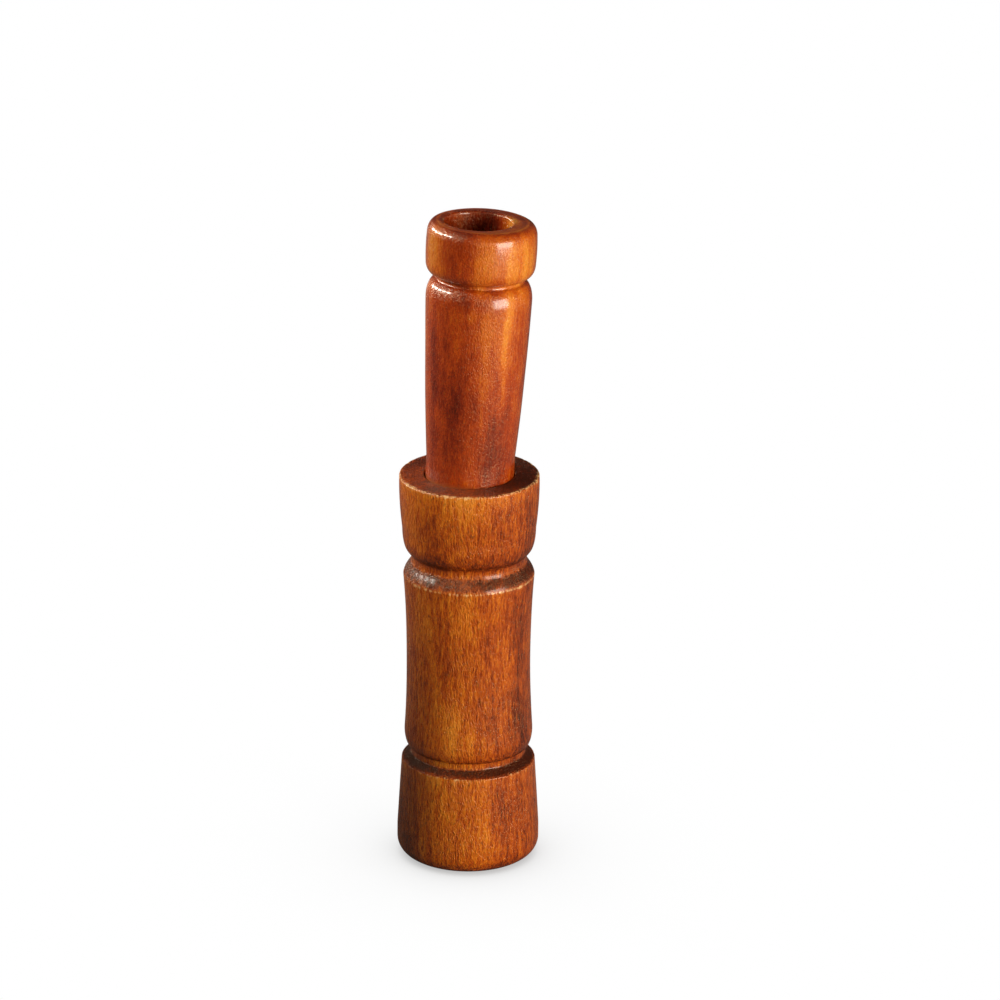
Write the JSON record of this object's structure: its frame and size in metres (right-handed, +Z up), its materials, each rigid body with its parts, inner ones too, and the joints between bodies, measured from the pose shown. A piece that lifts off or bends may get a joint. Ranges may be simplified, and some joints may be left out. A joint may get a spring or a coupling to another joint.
{
  "type": "duck call",
  "caption": "Turned wooden duck call: grooved barrel standing on its mouthpiece, with a pull-out insert that carries a half-round tone board, a film reed and a cork wedge.",
  "frame": {"origin": "centre of the mouthpiece's lower face, on the plane that the call stands on", "axes": "+Z up the barrel's axis towards the insert, -Y towards the viewer of the picture, +X to the viewer's right"},
  "size_m": [0.0298, 0.0298, 0.1401],
  "materials": {
    "barrel_wood": "reddish-brown stain under gloss lacquer, open grain",
    "insert_wood": "reddish-brown stain under gloss lacquer, close grain",
    "ring_rubber": "matt black",
    "board_plastic": "moulded black, satin",
    "reed_film": "milky polyester film",
    "wedge_cork": "cut cork"
  },
  "bodies": {
    "barrel": {"barrel": "barrel_wood"},
    "seal": {"o_ring": "ring_rubber"},
    "insert": {"insert": "insert_wood", "tone_board": "board_plastic", "wedge": "wedge_cork"},
    "reed": {"reed": "reed_film"}
  },
  "joints": [
    {"name": "insert_pull", "type": "slide", "parent": "barrel", "child": "seal", "axis": [0, 0, 1], "range_m": [0, 0.062]},
    {"name": "insert_twist", "type": "hinge", "parent": "seal", "child": "insert", "pos_m": [0, 0, 0.0826], "axis": [0.0454, 0.0381, 0.9982], "continuous": true},
    {"name": "reed_flex", "type": "hinge", "parent": "insert", "child": "reed", "pos_m": [-0.0008, -0.00167, 0.06507], "axis": [0.999, -0.0009, -0.0454], "range_deg": [-0.8, 1.7], "stiffness_Nm_per_rad": 0.005}
  ]
}
